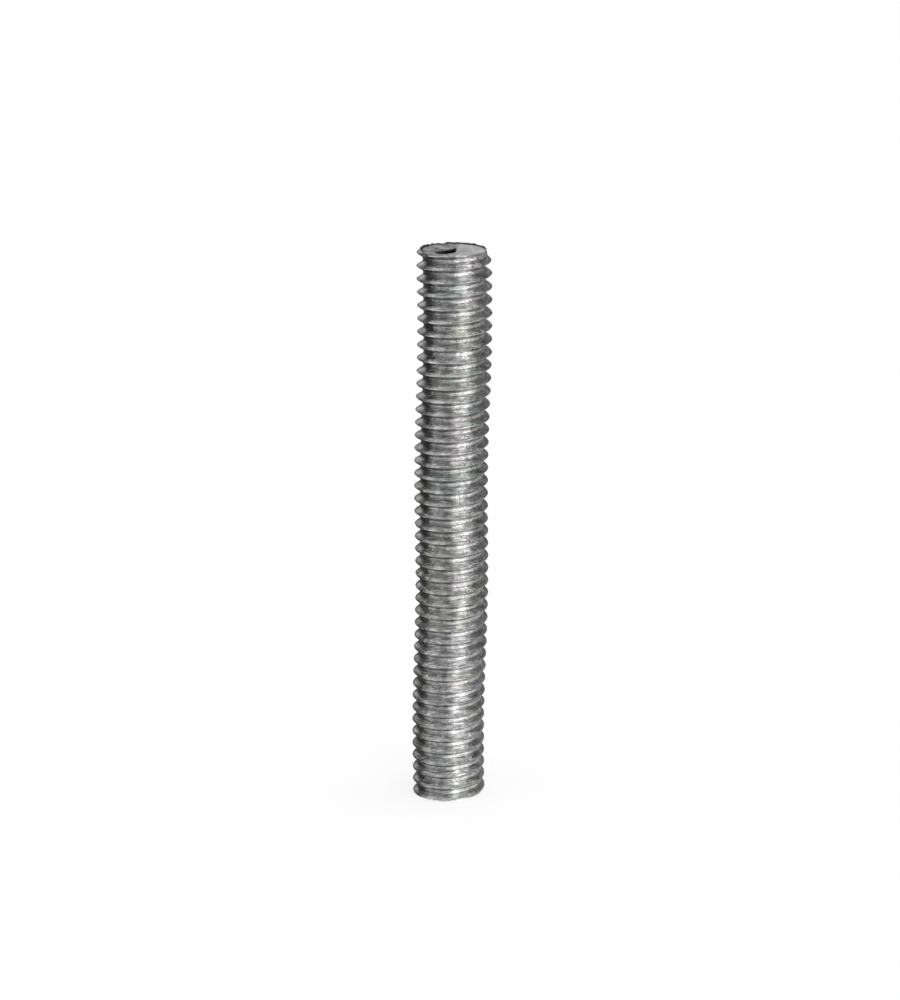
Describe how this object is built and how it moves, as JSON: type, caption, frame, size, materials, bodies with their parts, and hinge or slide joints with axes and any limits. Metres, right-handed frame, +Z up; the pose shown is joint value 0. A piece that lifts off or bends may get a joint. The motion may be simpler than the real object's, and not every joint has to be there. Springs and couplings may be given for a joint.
{
  "type": "threaded rod",
  "caption": "Straight plated steel rod with a right-hand thread from end to end and square-cut ends.",
  "frame": {"origin": "on the rod's axis at its lower end face, which it stands on", "axes": "+Z up along the rod's axis; the picture looks along +Y and slightly down"},
  "size_m": [0.008, 0.008, 0.061],
  "materials": {
    "zinc_plated_steel": "bright zinc plate, slightly mottled and worn"
  },
  "bodies": {
    "root": {"threaded_rod": "zinc_plated_steel"}
  },
  "joints": []
}
